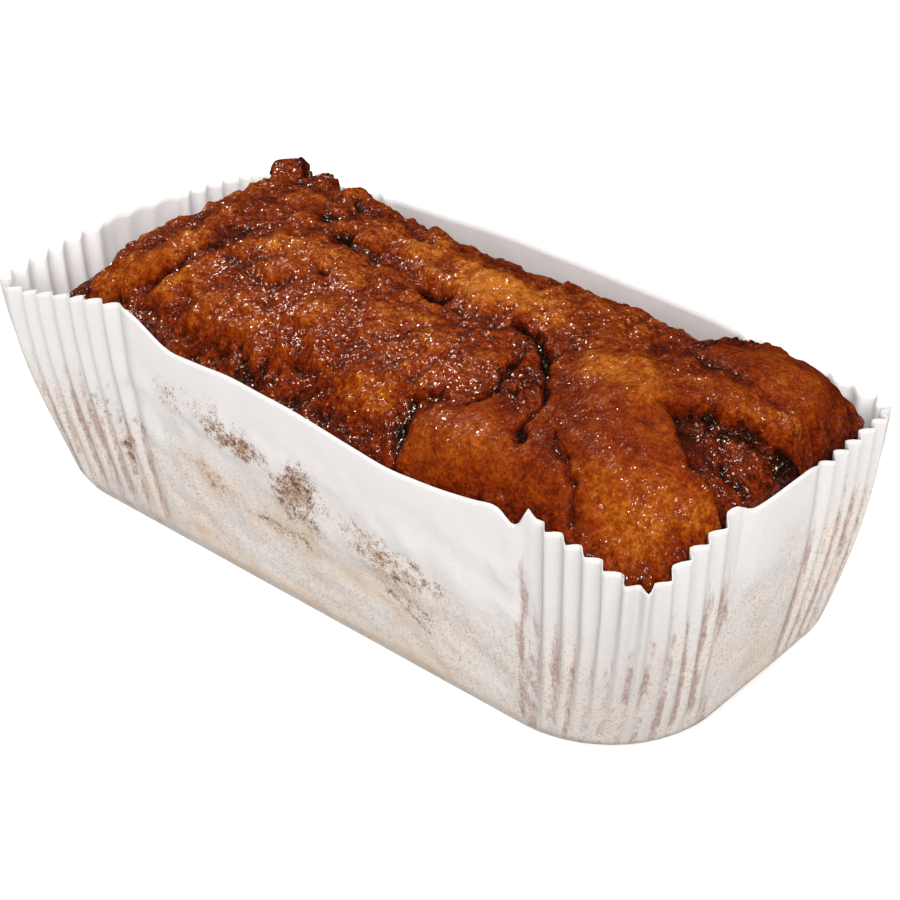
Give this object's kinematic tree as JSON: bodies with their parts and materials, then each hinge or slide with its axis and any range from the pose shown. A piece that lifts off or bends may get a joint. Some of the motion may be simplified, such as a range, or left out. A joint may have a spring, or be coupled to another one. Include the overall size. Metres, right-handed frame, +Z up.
{
  "type": "loaf cake in a paper case",
  "caption": "Uncut swirl banana loaf with a cracked, glossy caramel crust, standing in its white pleated paper loaf case",
  "frame": {"origin": "middle of the flat base of the paper case, on the surface that it stands on", "axes": "+X along the loaf towards its fuller end, -Y the front long side, +Z up"},
  "size_m": [0.2038, 0.0916, 0.0802],
  "materials": {
    "crust": "baked cake crust, sticky caramel brown with orange lobes and near-black cracks, slightly glossy",
    "paper": "white greaseproof paper, matt, stained brown by the baked cake on its lower walls"
  },
  "bodies": {
    "root": {"loaf": "crust", "paper_case": "paper"}
  },
  "joints": []
}
